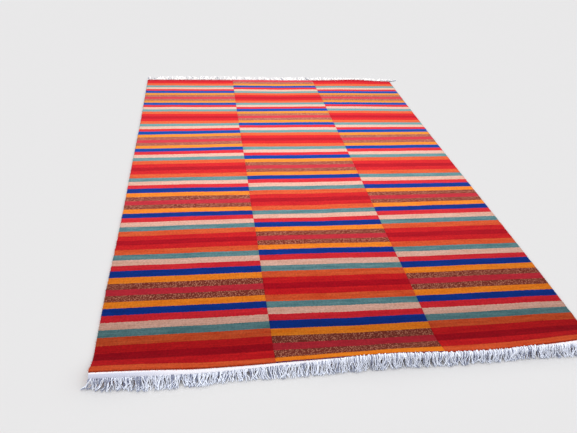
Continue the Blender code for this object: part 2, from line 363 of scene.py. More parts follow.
def striped_wool(name, on_back):
    """Dyed wool in stripes, read along the rug's flat coordinates, in pile or in knot backs."""
    material, nodes, shader = finish(name, roughness=0.95, sheen=0.03, tint=(1.0, 0.9, 0.85))
    flat = nodes.attribute("flat", "Vector")
    across = nodes.add("ShaderNodeSeparateXYZ", None, {0: flat})
    along = across.other("Y")

    wander = nodes.cloudy(flat, STRIPE_WANDER) - 0.5
    jag = nodes.cloudy(flat, STRIPE_JAG, 1.0) - 0.5
    panel = WIDTH / PANELS
    in_middle = (across > panel) * (across < 2 * panel)
    place = along / STRIPE + wander * WANDER_SHARE + jag * JAG_SHARE
    place = place.math("MAXIMUM", STRIPE_MARGIN).math("MINIMUM", LENGTH / STRIPE - STRIPE_MARGIN)
    turn = ((place + in_middle * (len(REPEAT) / 2)) % len(REPEAT)) / len(REPEAT)

    ends = np.cumsum([WIDTHS.get(dye, 1.0) for dye in REPEAT]) / len(REPEAT)
    starts = [0.0, *ends[:-1].tolist()]

    def ramp(colours):
        return nodes.add("ShaderNodeValToRGB", {"stops": list(zip(starts, colours))}, {"Fac": turn})

    first = ramp([dyed(DYES[dye].first) for dye in REPEAT])
    second = ramp([dyed(DYES[dye].second) for dye in REPEAT])
    far = ramp([dyed(DYES[dye].far) for dye in REPEAT])
    in_tweed = ramp([(1.0,) * 4 if dye == "tweed" else (0.0, 0.0, 0.0, 1.0) for dye in REPEAT])

    streaks = nodes.cloudy(flat, DYE_STREAKS, 3.0)
    patches = nodes.cloudy(flat, DYE_PATCHES, 3.0)
    lot = nodes.add("ShaderNodeMapRange", {"clamp": True}, {
        "Value": streaks * 0.6 + patches * 0.4, "From Min": LOT_RANGE[0], "From Max": LOT_RANGE[1],
    })
    slanted = nodes.add("ShaderNodeVectorRotate", {"rotation_type": "Z_AXIS"}, {
        "Vector": flat, "Angle": FLECK_SLANT,
    })
    from_fleck = nodes.add("ShaderNodeTexVoronoi", None, {
        "Vector": nodes.stretched(slanted, FLECKS), "Scale": 1.0,
    })
    share = lot * (1 - in_tweed) + (from_fleck < FLECK_SIZE) * in_tweed
    colour = nodes.mixed(first, second, share)
    # Painted sheen: the far colours take over towards the far end, less so in the tweed
    far_sheen_share = (1 - nodes.fading(along, *FAR_SHEEN_BETWEEN)) * (FAR_SHEEN_SHARE - in_tweed * LESS_IN_TWEED)
    colour = nodes.mixed(colour, far, far_sheen_share)
    # Painted shade: the wool at the near rim is darkened towards dark red
    rim_shade_share = nodes.fading(along, *PAINTED_RIM_SHADE_DEPTH) * PAINTED_RIM_SHADE_SHARE
    colour = nodes.mixed(colour, dyed(PAINTED_RIM_SHADE), rim_shade_share)
    if on_back:
        colour = nodes.mixed(colour, dyed(BARE_WARP), BARE_WARP_SHARE)

    knot = nodes.add("ShaderNodeVectorMath", {"operation": "FLOOR"}, {0: nodes.stretched(flat, KNOTS)})
    knot_shade = nodes.add("ShaderNodeTexWhiteNoise", {"noise_dimensions": "2D"}, {"Vector": knot})
    # Painted shade and light: darker in the valleys between the rows of knots, lighter on their ridges
    valley = (along / KNOT_RIDGE % 1 * math.tau).math("COSINE")
    fuzz = nodes.cloudy(flat, FUZZ)
    clumps = nodes.cloudy(flat, CLUMPS, 1.0)
    small_marks = knot_shade * KNOT_CHANGE + fuzz * FUZZ_CHANGE + clumps * CLUMP_CHANGE
    brightness = 1 - (KNOT_CHANGE + FUZZ_CHANGE + CLUMP_CHANGE) / 2 + small_marks - valley * VALLEY_PAINTED_SHADE
    # Painted light and shade: the nap's brightness along the rug is fixed in the wool's colour
    nap = FAR_PAINTED_NAP + sum(nodes.fading(along, fade.start, fade.stop) * fade.change for fade in PAINTED_NAP_FADES)
    # Painted sheen: the wool is a little richer in colour at the near end, where the nap shows less sheen
    richness = 1 + nodes.fading(along, *RICHNESS_FADE) * NEAR_RICHNESS
    nodes.join(shader, {"Base Color": nodes.toned(colour, brightness * nap, richness)})

    from_knot = nodes.add("ShaderNodeTexVoronoi", None, {
        "Vector": nodes.stretched(flat, KNOT_BUMPS), "Scale": 1.0, "Randomness": 0.25 if on_back else 0.7,
    })
    height = (1 - from_knot) * 0.6 + fuzz * 0.8
    nodes.join(shader, {"Normal": nodes.bump(height, strength=0.5, distance=0.0012)})
    return material


pile_solid = Solid("pile_field")
pile_low, pile_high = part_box("pile_field")
edge_stations = np.linspace(pile_low.y + DRAWN_IN, pile_high.y - DRAWN_IN, EDGE_STATIONS)


def long_lines_at(y):
    """Places across of the left edge, the grooves and the right edge, on the line at y."""
    inside, outside = SIDE_SEARCH
    left, right = (
        pile_solid.last_place(lambda x: (x, y), side * inside, side * outside) for side in (-1, 1)
    )
    lines = [left]
    for groove in range(1, PANELS):
        guess = left + (right - left) * groove / PANELS
        places = guess + np.arange(-GROOVE_SEARCH, GROOVE_SEARCH, GROOVE_HALF_WIDTH / 5)
        lines.append(min(places, key=lambda x: pile_solid.height(x, y)))
    return [*lines, right]


def carried_on(values):
    """Even values with one more at each end, straight on from the last two."""
    return np.array([2 * values[0] - values[1], *values, 2 * values[-1] - values[-2]])


long_lines = [carried_on(line) for line in zip(*map(long_lines_at, edge_stations))]
edge_stations = carried_on(edge_stations)


def across_at(share, inset, y):
    """Place across the rug at a share of its width, moved in by an inset, on the line at y."""
    panel = min(int(share * PANELS + 1e-6), PANELS - 1)
    start, stop = (np.interp(y, edge_stations, line) for line in long_lines[panel:panel + 2])
    return start + (share * PANELS - panel) * (stop - start) + inset


def pile_grid():
    """Rows and columns of places on the pile, at even steps along its curled surface."""
    panel_shares = [k / (PANELS * STEPS_PER_PANEL) for k in range(1, PANELS * STEPS_PER_PANEL)]
    columns = [(0.0, inset) for inset in RIM_INSETS]
    for k, share in enumerate(panel_shares, 1):
        if k % STEPS_PER_PANEL == 0:
            columns += [(share, step * GROOVE_HALF_WIDTH) for step in (-1, 0, 1)]
        else:
            columns.append((share, 0.0))
    columns += [(1.0, -inset) for inset in reversed(RIM_INSETS)]
    half_ridge = KNOT_RIDGE / 2
    ridges = [k * half_ridge for k in range(1, round(LENGTH / half_ridge))]
    along = np.array([*RIM_INSETS, *ridges, *(LENGTH - inset for inset in reversed(RIM_INSETS))])

    shape = (len(along), len(columns))
    grid = {name: np.zeros(shape) for name in ("x", "y", "top", "under", "across", "along")}
    for j, (share, inset) in enumerate(columns):
        def place(y):
            return across_at(share, inset, y), y

        inside, outside = END_SEARCH
        near, far = (pile_solid.last_place(place, end * inside, end * outside) for end in (-1, 1))
        path = np.linspace(near, far, PATH_POINTS)
        heights = np.array([pile_solid.height(*place(y), False) for y in path])
        arc = np.concatenate([[0.0], np.cumsum(np.hypot(np.diff(path), np.diff(heights)))])
        arc -= np.interp(0.0, path, arc) - LENGTH / 2
        bows = [np.interp(share * WIDTH, BOW_PLACES, bow[1:]) for bow in BOWS]
        bow_places = [0.0, *(bow.along for bow in BOWS), LENGTH]
        bowed = along + np.interp(along, bow_places, [arc[0], *bows, arc[-1] - LENGTH])
        y = np.interp(bowed, arc, path)
        grid["y"][:, j] = y
        grid["x"][:, j] = across_at(share, inset, y)
        grid["across"][:, j] = share * WIDTH + inset
        grid["along"][:, j] = along
        for name, from_above in (("top", True), ("under", False)):
            places = zip(grid["x"][:, j], y)
            grid[name][:, j] = [pile_solid.height(*place, from_above) for place in places]
    return grid


def soften_curl(grid):
    """Rounds the solid's flat facets along the rug, and keeps the pile's thickness and rims."""
    thickness = grid["top"] - grid["under"]
    inner = grid["under"][len(RIM_INSETS):-len(RIM_INSETS)]
    for _ in range(CURL_SOFTENING_PASSES):
        inner[1:-1] = (inner[:-2] + 2 * inner[1:-1] + inner[2:]) / 4
    grid["top"] = grid["under"] + thickness


def add_pile_relief(grid):
    """Raises the rows of knots, makes the clipped pile uneven, and lets the long edges wander."""
    rows, columns = grid["top"].shape
    for i in range(rows):
        for j in range(columns):
            across, along = grid["across"][i, j], grid["along"][i, j]
            inset = min(across, WIDTH - across, along, LENGTH - along)
            ridge = -math.cos(along / KNOT_RIDGE * math.tau) * RIDGE_HEIGHT
            uneven = noise.noise(Vector((across, along, 0.0)) * UNEVEN_PER_METRE) * UNEVEN_HEIGHT
            grid["top"][i, j] += (ridge + uneven) * min(1.0, inset / RIM_INSETS[-1])
            side_inset = min(across, WIDTH - across)
            fade = max(0.0, 1.0 - side_inset / EDGE_WANDER_DEPTH)
            apart = LEFT_EDGE_APART if across < WIDTH / 2 else 0.0
            sway = noise.noise(Vector((apart, along * EDGE_WANDER_PER_METRE, 0.0)))
            grid["x"][i, j] += sway * EDGE_WANDER * fade


pile = pile_grid()
soften_curl(pile)
add_pile_relief(pile)
front_wool = striped_wool("clipped striped wool", False)
back_wool = striped_wool("knot backs of striped wool", True)
knotted_pile = closed_cloth("knotted_pile", pile, BACK_STEP, [front_wool, back_wool])
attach(knotted_pile, "root")
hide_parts("pile_field")

# Loose ends of the same wool stand out round the pile's rim, where the shears leave them a
# little long. They are short tapered tufts, thickest at the near end over the white heading.

TUFT_LENGTH, TUFT_WIDTH, TUFT_TIP = 0.0055, 0.0016, 0.3
TUFT_SPREAD = (-0.9, -0.9, -0.35), (0.9, 0.9, 0.7)
TUFT_SIZES = 0.45, 1.0
TUFT_INSET, TUFT_SINK, TUFT_JITTER = 0.006, 0.003, 0.4
TUFT_SEED = 12
NEAR_TUFT_STEP, FAR_TUFT_STEP, SIDE_TUFT_STEP = 0.0022, 0.0040, 0.0055


def make(name, guide, tree, sizes):
    """Runs a guide through a Geometry Nodes tree, and keeps the result as a plain mesh."""
    modifier = guide.modifiers.new("making", "NODES")
    modifier.node_group = tree
    for socket in tree.interface.items_tree:
        if socket.name in sizes:
            modifier[socket.identifier] = sizes[socket.name]
    bpy.context.view_layer.update()
    evaluated = guide.evaluated_get(bpy.context.evaluated_depsgraph_get())
    mesh = bpy.data.meshes.new_from_object(evaluated)
    guide.modifiers.remove(modifier)
    bpy.data.objects.remove(guide)
    piece = bpy.data.objects.new(name, mesh)
    bpy.context.scene.collection.objects.link(piece)
    return piece


def guide_mesh(points, edges, **attributes):
    """Bare points, or chains of them, that carry values for a Geometry Nodes tree to read."""
    mesh = bpy.data.meshes.new("guide")
    mesh.from_pydata([tuple(point) for point in points], edges, [])
    for name, values in attributes.items():
        values = np.array(values, np.float32)
        if values.ndim == 2:
            mesh.attributes.new(name, "FLOAT_VECTOR", "POINT").data.foreach_set("vector", values.ravel())
        else:
            mesh.attributes.new(name, "FLOAT", "POINT").data.foreach_set("value", values)
    guide = bpy.data.objects.new("guide", mesh)
    bpy.context.scene.collection.objects.link(guide)
    return guide


def making_tree(name, sizes):
    """Empty Geometry Nodes tree with named inputs, its nodes, and the wires of its inputs."""
    tree = bpy.data.node_groups.new(name, "GeometryNodeTree")
    kinds = {"Geometry": "NodeSocketGeometry", "Fibre": "NodeSocketMaterial", "Seed": "NodeSocketInt"}
    for size in ("Geometry", *sizes, "Fibre"):
        kind = kinds.get(size, "NodeSocketInt" if size.startswith("Steps") else "NodeSocketFloat")
        tree.interface.new_socket(size, in_out="INPUT", socket_type=kind)
    tree.interface.new_socket("Geometry", in_out="OUTPUT", socket_type="NodeSocketGeometry")
    nodes = Nodes(tree)
    inputs = nodes.add("NodeGroupInput")
    return tree, nodes, {size: inputs.other(size) for size in ("Geometry", *sizes, "Fibre")}


def close_tree(nodes, shape, fibre):
    """Ends a tree: real copies instead of instances, and the fibre's material."""
    shape = nodes.add("GeometryNodeRealizeInstances", None, {0: shape})
    shape = nodes.add("GeometryNodeSetMaterial", None, {"Geometry": shape, "Material": fibre})
    nodes.add("NodeGroupOutput", None, {0: shape})


def named_value(nodes, name, kind="FLOAT"):
    """Value that the guide carries at each of its points."""
    return nodes.add("GeometryNodeInputNamedAttribute", {"data_type": kind}, {"Name": name})


def tuft_tree():
    """A tapered tuft on each point of the guide, leaning the way that the guide says."""
    tree, nodes, size = making_tree("rim tufts", ("Length", "Width", "Seed"))
    tuft = nodes.add("GeometryNodeMeshCone", {"fill_type": "TRIANGLE_FAN"}, {
        "Vertices": 4, "Radius Top": size["Width"] * (TUFT_TIP / 2), "Radius Bottom": size["Width"] * 0.5,
        "Depth": size["Length"],
    })
    spread = nodes.add("FunctionNodeRandomValue", {"data_type": "FLOAT_VECTOR"}, {
        0: TUFT_SPREAD[0], 1: TUFT_SPREAD[1], "Seed": size["Seed"],
    })
    outward = named_value(nodes, "outward", "FLOAT_VECTOR")
    lean = nodes.add("ShaderNodeVectorMath", {"operation": "ADD"}, {0: outward, 1: spread})
    turn = nodes.add("FunctionNodeAlignRotationToVector", {"axis": "Z"}, {"Vector": lean})
    grown = nodes.add("FunctionNodeRandomValue", {"data_type": "FLOAT"}, {
        2: TUFT_SIZES[0], 3: TUFT_SIZES[1], "Seed": size["Seed"] + 1,
    }, out=1)
    shape = nodes.add("GeometryNodeInstanceOnPoints", None, {
        "Points": size["Geometry"], "Instance": tuft, "Rotation": turn, "Scale": grown,
    })
    close_tree(nodes, shape, size["Fibre"])
    return tree


def rim_guide(grid):
    """Points along the pile's four rims, with the way out and the flat coordinates of each.

    A tuft takes its dye from just inside the rim, past the painted shade on the edge of the wool."""
    draw = random.Random(TUFT_SEED)
    rims = (
        ((1, slice(None)), (0.0, -1.0, 0.2), NEAR_TUFT_STEP),
        ((-2, slice(None)), (0.0, 1.0, 0.2), FAR_TUFT_STEP),
        ((slice(None), 1), (-1.0, 0.0, 0.2), SIDE_TUFT_STEP),
        ((slice(None), -2), (1.0, 0.0, 0.2), SIDE_TUFT_STEP),
    )
    points, outward, flat = [], [], []
    for rim, way, step in rims:
        line = np.stack([grid[name][rim] for name in ("x", "y", "top", "across", "along")], -1)
        gone = np.concatenate([[0.0], np.cumsum(np.linalg.norm(np.diff(line[:, :3], axis=0), axis=1))])
        for k in range(1, int(gone[-1] / step)):
            at = (k + draw.uniform(-TUFT_JITTER, TUFT_JITTER)) * step
            spot = [np.interp(at, gone, line[:, part]) for part in range(5)]
            spot[2] -= draw.uniform(0.0, TUFT_SINK)
            spot[4] = min(max(spot[4], TUFT_INSET), LENGTH - TUFT_INSET)
            points.append(spot[:3])
            outward.append(way)
            flat.append((*spot[3:], 0.0))
    return guide_mesh(points, [], outward=outward, flat=flat)


rim_tufts = make("rim_tufts", rim_guide(pile), tuft_tree(), {
    "Length": TUFT_LENGTH, "Width": TUFT_WIDTH, "Seed": TUFT_SEED, "Fibre": front_wool,
})
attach(rim_tufts, "root")

# A white flat-woven heading runs along each end. It is cotton, woven on the rug's own warps past
# the last row of knots, and at the near end it bends down over the lifted edge.

HEADING_COLUMNS, HEADING_ROWS = 400, 14
HEADING_INSET = 0.0004
HEADING_MIDDLE, HEADING_SEARCH = 0.008, (0.02, 0.03)
RIB_HEIGHT = 0.00022
PUCKER_HEIGHT, PUCKERS_PER_METRE, PUCKER_CHANGE, DEEPEST_PUCKER = 0.0007, 45.0, 0.15, -0.3
ENDS_APART = 5.0
# The heading's painted shade: bluish grey outwards, where it bends down, and most at its left end, where it
# hangs lowest
UNSHADED_COTTON, PAINTED_SHADE_COTTON = (219, 217, 222), (174, 177, 193)
PAINTED_SHADE_OUTWARDS, PAINTED_SHADE_TO_RIGHT, LEAST_PAINTED_SHADE = (0.12, 0.42), (0.08, 0.36), 0.3
SHADE_EDGE_WOBBLE, COTTON_THREADS, RIBS = (14.0, 1.4, 1.0), (520.0, 18.0, 1.0), (0.1, 0.02, 1.0)


def woven_cotton():
    """White cotton with fine ribs along the weft, and painted shade that makes it bluish grey outwards,
    most at its left end.
    """
    material, nodes, shader = finish(
        "flat-woven white cotton", roughness=0.9, sheen=0.1, tint=(1.0, 1.0, 1.0),
    )
    flat = nodes.attribute("flat", "Vector")
    shade_edge_wobble = nodes.cloudy(flat, SHADE_EDGE_WOBBLE, 3.0)
    threads = nodes.cloudy(flat, COTTON_THREADS)
    across = nodes.add("ShaderNodeSeparateXYZ", None, {0: flat})
    # Painted shade: grey outwards, with a wobbly edge, and most at the left end
    outwards = across.other("Y") + (shade_edge_wobble - 0.5) * 0.3
    at_left = nodes.fading(across, *PAINTED_SHADE_TO_RIGHT) * (1 - LEAST_PAINTED_SHADE)
    painted_shade = (1 - nodes.fading(outwards, *PAINTED_SHADE_OUTWARDS)) * (LEAST_PAINTED_SHADE + at_left)
    colour = nodes.mixed(dyed(UNSHADED_COTTON), dyed(PAINTED_SHADE_COTTON), painted_shade)
    nodes.join(shader, {"Base Color": nodes.toned(colour, 0.94 + threads * 0.1)})
    ribs = nodes.add("ShaderNodeTexWave", {"bands_direction": "Y"}, {
        "Vector": nodes.stretched(flat, RIBS), "Scale": 130.0, "Distortion": 1.5, "Detail": 1.0,
    })
    nodes.join(shader, {"Normal": nodes.bump(ribs + threads, strength=0.5, distance=0.0006)})
    return material


def heading_grid(side, solid, end):
    """Places on one end's heading, from the pile's edge outwards."""
    low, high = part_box(f"heading_{side}")
    row = 0 if end < 0 else -1
    shares = np.linspace(0.0, 1.0, HEADING_COLUMNS + 1)
    shape = (HEADING_ROWS + 1, HEADING_COLUMNS + 1)
    grid = {name: np.zeros(shape) for name in ("x", "y", "top", "under", "across", "along")}
    for j, share in enumerate(shares):
        pile_y = np.interp(share * WIDTH, pile["across"][row], pile["y"][row])
        x = across_at(share, 0.0, pile_y)
        x = min(max(x, low.x + HEADING_INSET), high.x - HEADING_INSET)
        middle = pile_y + end * HEADING_MIDDLE
        inner = solid.last_place(lambda y: (x, y), middle, middle - end * HEADING_SEARCH[0])
        outer = solid.last_place(lambda y: (x, y), middle, middle + end * HEADING_SEARCH[1])
        for i, y in enumerate(np.linspace(inner, outer, HEADING_ROWS + 1)):
            spot = Vector((share * WIDTH * PUCKERS_PER_METRE, i * PUCKER_CHANGE, end * ENDS_APART))
            pucker = PUCKER_HEIGHT * max(noise.noise(spot), DEEPEST_PUCKER)
            rib = RIB_HEIGHT * (1 if i % 2 else -1)
            grid["x"][i, j] = x
            grid["y"][i, j] = y
            grid["top"][i, j] = solid.height(x, y) + rib + pucker
            grid["under"][i, j] = solid.height(x, y, False)
            grid["across"][i, j] = share * WIDTH
            grid["along"][i, j] = i / HEADING_ROWS
    if end < 0:
        grid = {name: field[::-1] for name, field in grid.items()}
    return grid


white_cotton = woven_cotton()
heading_solids, heading_grids = {}, {}
headings = []
for side, end in (("near", -1), ("far", 1)):
    heading_solids[end] = Solid(f"heading_{side}")
    heading_grids[end] = heading_grid(side, heading_solids[end], end)
    woven = closed_cloth(f"woven_heading_{side}", heading_grids[end], 2, [white_cotton])
    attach(woven, "root")
    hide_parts(f"heading_{side}")
    headings.append(woven)

# The fringe is the loose ends of the cotton warp, three-ply yarns tied in a knotted edge at the
# heading. Past it they fall to the floor and lie there in small tangled bunches. At the far end,
# and along most of the near one, they first puff up over the heading.

YARN_RADIUS, YARN_TIP, PLY_DEPTH, YARN_TURNS = 0.0024, 0.6, 0.70, 1.6
# The middle of the noise that curls a yarn, where it doesn't move, is a little low: it lifts more
CURL, CURLS_PER_METRE, CURL_MIDDLE = 0.022, 42.0, (0.5, 0.5, 0.45)
NOISE_APART_X, NOISE_APART_Y, FAR_AWAY = 53.0, 31.0, -9.0
FRINGE_SEED = 31
# Values that differ by end: -1 is the near one, 1 the far one
YARNS = {-1: 820, 1: 400}
YARN_STEPS = {-1: 14, 1: 10}
YARNS_PER_BUNCH = 4
BUNCH_LENGTHS, YARN_LENGTHS = (0.86, 1.0), (0.82, 1.0)
BUNCH_SWAY, YARN_SWAY = 0.009, 0.011
CORNER_FAN = {-1: 0.10, 1: 0.16}
CORNER_SPREAD = {-1: 0.005, 1: 0.030}
LEFT_FAN, RIGHT_FAN = {-1: 1.0, 1: 2.4}, {-1: 1.0, 1: 1.5}
PUFF = {-1: (0.003, 0.009), 1: (0.005, 0.013)}
SET_BACK, SET_BACK_COVERED, MOST_SET_BACK = (0.001, 0.003), (0.006, 0.015), 0.016
NEAR_COVER_PLACES, NEAR_COVERS = (-0.26, -0.12, 0.02, 0.70, 0.90), (0.0, 0.4, 1.0, 1.0, 0.0)
FAR_COVER = 0.8
# Painted shade: a share of the yarns, more at the corners, lie low in shaded tones between the strands
SHADED_YARN_SHARE, MORE_SHADED_AT_CORNERS, SHADED_YARN_PUFF = 0.28, 0.3, 0.3
SHADED_TONES, LIT_TONES = (0.0, 0.25), (0.6, 1.0)
YARN_LIFT = 0.006
TIP_STEP = 0.025
EDGE_MIDDLE = 0.003
EDGE_CORD_RADIUS, EDGE_CORD_TURNS, EDGE_CORD_STEPS, EDGE_CORD_TONE = 0.0019, 160.0, 1200, 0.8
EDGE_CORD_PLACE, EDGE_CORD_REST, EDGE_CORD_SINK = 0.0020, 0.0022, 0.6
FLOOR_CLEARANCE = 0.0002
# Tones of the yarns: painted shade, painted light, and painted shade towards their tips
SHADED_YARN, LIT_YARN, SHADED_TIP = (100, 106, 138), (238, 242, 253), (196, 206, 222)
RAISED_FADE, RAISED_LIGHT, SHADED_TIP_SHARE = (0.15, 0.5), 0.4, 0.3
WORN_SPOTS, FIBRES = (120.0, 120.0, 120.0), (1500.0, 1500.0, 1500.0)


def cotton_yarn():
    """Loose twisted cotton, bluish white, with painted shade in low yarns and towards the tips, and painted
    light where it is raised.
    """
    material, nodes, shader = finish(
        "loose twisted cotton", roughness=0.92, sheen=0.15, tint=(0.95, 0.97, 1.0),
    )
    place = nodes.add("ShaderNodeTexCoord", out="Object")
    run = nodes.attribute("run")
    worn = nodes.cloudy(place, WORN_SPOTS)
    fibres = nodes.cloudy(place, FIBRES)
    # Painted light on raised yarns, painted shade in low yarns and towards the tips
    raised = nodes.fading(run, *RAISED_FADE) * nodes.attribute("raised")
    tone = nodes.attribute("tone") + raised * RAISED_LIGHT
    colour = nodes.mixed(dyed(SHADED_YARN), dyed(LIT_YARN), tone)
    colour = nodes.mixed(colour, dyed(SHADED_TIP), run * run * SHADED_TIP_SHARE)
    nodes.join(shader, {"Base Color": nodes.toned(colour, 0.9 + worn * 0.12 + fibres * 0.08)})
    nodes.join(shader, {"Normal": nodes.bump(fibres, strength=0.4, distance=0.0005)})
    return material


def yarn_tree():
    """Three-ply yarn along each chain of the guide, curling more towards its end.

    Its tone moves each yarn to a place of its own in the noise that curls it."""
    names = ("Radius", "Tip share", "Ply depth", "Turns", "Curl", "Curls per metre", "Lowest", "Steps")
    tree, nodes, size = making_tree("twisted yarn", names)
    lines = nodes.add("GeometryNodeMeshToCurve", None, {0: size["Geometry"]})
    lines = nodes.add("GeometryNodeCurveSplineType", {"spline_type": "CATMULL_ROM"}, {0: lines})
    lines = nodes.add("GeometryNodeResampleCurve", None, {"Curve": lines, "Count": size["Steps"]})
    run, tone = named_value(nodes, "run"), named_value(nodes, "tone")

    place = nodes.add("GeometryNodeInputPosition")
    apart = nodes.add("ShaderNodeCombineXYZ", None, {"X": tone * NOISE_APART_X, "Y": tone * NOISE_APART_Y})
    spot = nodes.add("ShaderNodeVectorMath", {"operation": "SCALE"}, {
        0: place, "Scale": size["Curls per metre"],
    })
    spot = nodes.add("ShaderNodeVectorMath", {"operation": "ADD"}, {0: spot, 1: apart})
    curl = nodes.add("ShaderNodeTexNoise", None, {"Vector": spot, "Scale": 1.0, "Detail": 1.0}, out="Color")
    curl = nodes.add("ShaderNodeVectorMath", {"operation": "SUBTRACT"}, {0: curl, 1: CURL_MIDDLE})
    curl = nodes.add("ShaderNodeVectorMath", {"operation": "SCALE"}, {
        0: curl, "Scale": size["Curl"] * run,
    })
    moved = nodes.add("ShaderNodeVectorMath", {"operation": "ADD"}, {0: place, 1: curl})
    floor_place = nodes.add("ShaderNodeCombineXYZ", None, {
        "X": FAR_AWAY, "Y": FAR_AWAY, "Z": size["Lowest"],
    })
    moved = nodes.add("ShaderNodeVectorMath", {"operation": "MAXIMUM"}, {0: moved, 1: floor_place})
    lines = nodes.add("GeometryNodeSetPosition", None, {"Geometry": lines, "Position": moved})
    twist = (run * size["Turns"] + tone) * math.tau
    lines = nodes.add("GeometryNodeSetCurveTilt", None, {"Curve": lines, "Tilt": twist})

    ring = nodes.add("GeometryNodeCurvePrimitiveCircle", None, {"Resolution": 6, "Radius": 1.0})
    ring_place = nodes.add("GeometryNodeInputPosition")
    in_hollow = nodes.add("GeometryNodeInputIndex") % 2
    lobes = nodes.add("ShaderNodeVectorMath", {"operation": "SCALE"}, {
        0: ring_place, "Scale": 1 - in_hollow * (1 - size["Ply depth"]),
    })
    ring = nodes.add("GeometryNodeSetPosition", None, {"Geometry": ring, "Position": lobes})
    taper = size["Radius"] * (1 - run * (1 - size["Tip share"]))
    shape = nodes.add("GeometryNodeCurveToMesh", None, {
        "Curve": lines, "Profile Curve": ring, "Scale": taper, "Fill Caps": True,
    })
    close_tree(nodes, shape, size["Fibre"])
    return tree


def tip_line(node):
    """Places across the rug, and how far along it the fringe's tips reach there."""
    points = np.array([vertex.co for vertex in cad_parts[node].data.vertices])
    middles = np.arange(points[:, 0].min(), points[:, 0].max(), TIP_STEP) + TIP_STEP / 2
    reach = [np.abs(points[np.abs(points[:, 0] - at) < TIP_STEP, 1]).max() for at in middles]
    return middles, np.array(reach)


def fringe_paths(side, end):
    """Chains of points for one end's yarns, each one's tone and rise, and the knotted edge's line."""
    draw = random.Random(FRINGE_SEED + end)
    edge_solid = Solid(f"fringe_{side}")
    edge_low, edge_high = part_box(f"fringe_{side}")
    tips_x, tips_y = tip_line(f"fringe_{side}")
    heading = heading_grids[end]
    outer_row = 0 if end < 0 else -1
    outer_x, outer_y = heading["x"][outer_row], heading["y"][outer_row]
    count = YARNS[end]
    paths, tones, rises = [], [], []
    for j in range(count):
        if j % YARNS_PER_BUNCH == 0:
            bunch_sway = draw.gauss(0, BUNCH_SWAY)
            bunch_length = draw.uniform(*BUNCH_LENGTHS)
        share = min(max((j + 0.5 + draw.uniform(-0.5, 0.5)) / count, 0.001), 0.999)
        x = outer_x[0] + share * (outer_x[-1] - outer_x[0])
        y = float(np.interp(x, outer_x, outer_y))
        covered = float(np.interp(x, NEAR_COVER_PLACES, NEAR_COVERS)) if end < 0 else FAR_COVER
        set_back = draw.uniform(*SET_BACK) + draw.uniform(*SET_BACK_COVERED) * covered
        at_left = max(0.0, 1 - (x - outer_x[0]) / CORNER_FAN[end])
        at_right = max(0.0, 1 - (outer_x[-1] - x) / CORNER_FAN[end])
        # A dark yarn is painted shade: it lies low and takes a shaded tone
        dark = draw.random() < SHADED_YARN_SHARE + MORE_SHADED_AT_CORNERS * max(at_left, at_right)
        puff = draw.uniform(*PUFF[end]) * covered * (SHADED_YARN_PUFF if dark else 1.0)
        root_z = heading_solids[end].height(x, y - end * min(set_back, MOST_SET_BACK)) or 0.0
        edge_z = edge_solid.height(x, y + end * EDGE_MIDDLE) or root_z
        fan = (edge_low.x - outer_x[0]) * at_left * LEFT_FAN[end]
        fan += (edge_high.x - outer_x[-1]) * at_right * RIGHT_FAN[end]
        tip_x = x + fan + bunch_sway + draw.gauss(0, YARN_SWAY)
        tip_x = min(max(tip_x, edge_low.x - CORNER_SPREAD[end]), edge_high.x + CORNER_SPREAD[end])
        reach = float(np.interp(tip_x, tips_x, tips_y)) * end
        tip_y = y + (reach - y) * bunch_length * draw.uniform(*YARN_LENGTHS)
        drift, run = tip_x - x, tip_y - y
        low = YARN_RADIUS + FLOOR_CLEARANCE
        lift = 0.0 if dark else draw.uniform(0.0, YARN_LIFT)
        fall = edge_z * draw.uniform(0.1, 0.3) * (1 if dark else 2)
        # Out of the heading, up over it, past the knotted edge, down to the floor and along it
        paths.append([
            (x, y - end * set_back * 0.9, root_z + YARN_RADIUS * 0.3),
            (x, y - end * set_back, root_z + YARN_RADIUS * 0.7 + puff * 0.6),
            (x + drift * 0.05, y - end * set_back * 0.6, max(root_z, edge_z) + YARN_RADIUS + puff),
            (x + drift * 0.12, y + end * EDGE_MIDDLE, edge_z + YARN_RADIUS + puff * 0.8),
            (x + drift * 0.40, y + run * 0.38, low + fall),
            (x + drift * 0.75, y + run * 0.70, low + lift),
            (tip_x, tip_y, low + lift * 0.3),
        ])
        tones.append(draw.uniform(*(SHADED_TONES if dark else LIT_TONES)))
        rises.append(covered)
    edge_line = []
    for x, y in zip(outer_x[1:-1], outer_y[1:-1]):
        edge_z = edge_solid.height(x, y + end * EDGE_CORD_REST) or 0.0
        edge_line.append((x, y + end * EDGE_CORD_PLACE, edge_z - EDGE_CORD_RADIUS * EDGE_CORD_SINK))
    return paths, tones, rises, edge_line


def chains(paths, tones, rises):
    """Guide of separate chains, with each one's run, tone and rise at every point."""
    points = [point for path in paths for point in path]
    edges, start = [], 0
    for path in paths:
        edges += [(start + k, start + k + 1) for k in range(len(path) - 1)]
        start += len(path)
    run = [k / (len(path) - 1) for path in paths for k in range(len(path))]
    tone = [tone for path, tone in zip(paths, tones) for _ in path]
    raised = [rise for path, rise in zip(paths, rises) for _ in path]
    return guide_mesh(points, edges, run=run, tone=tone, raised=raised)


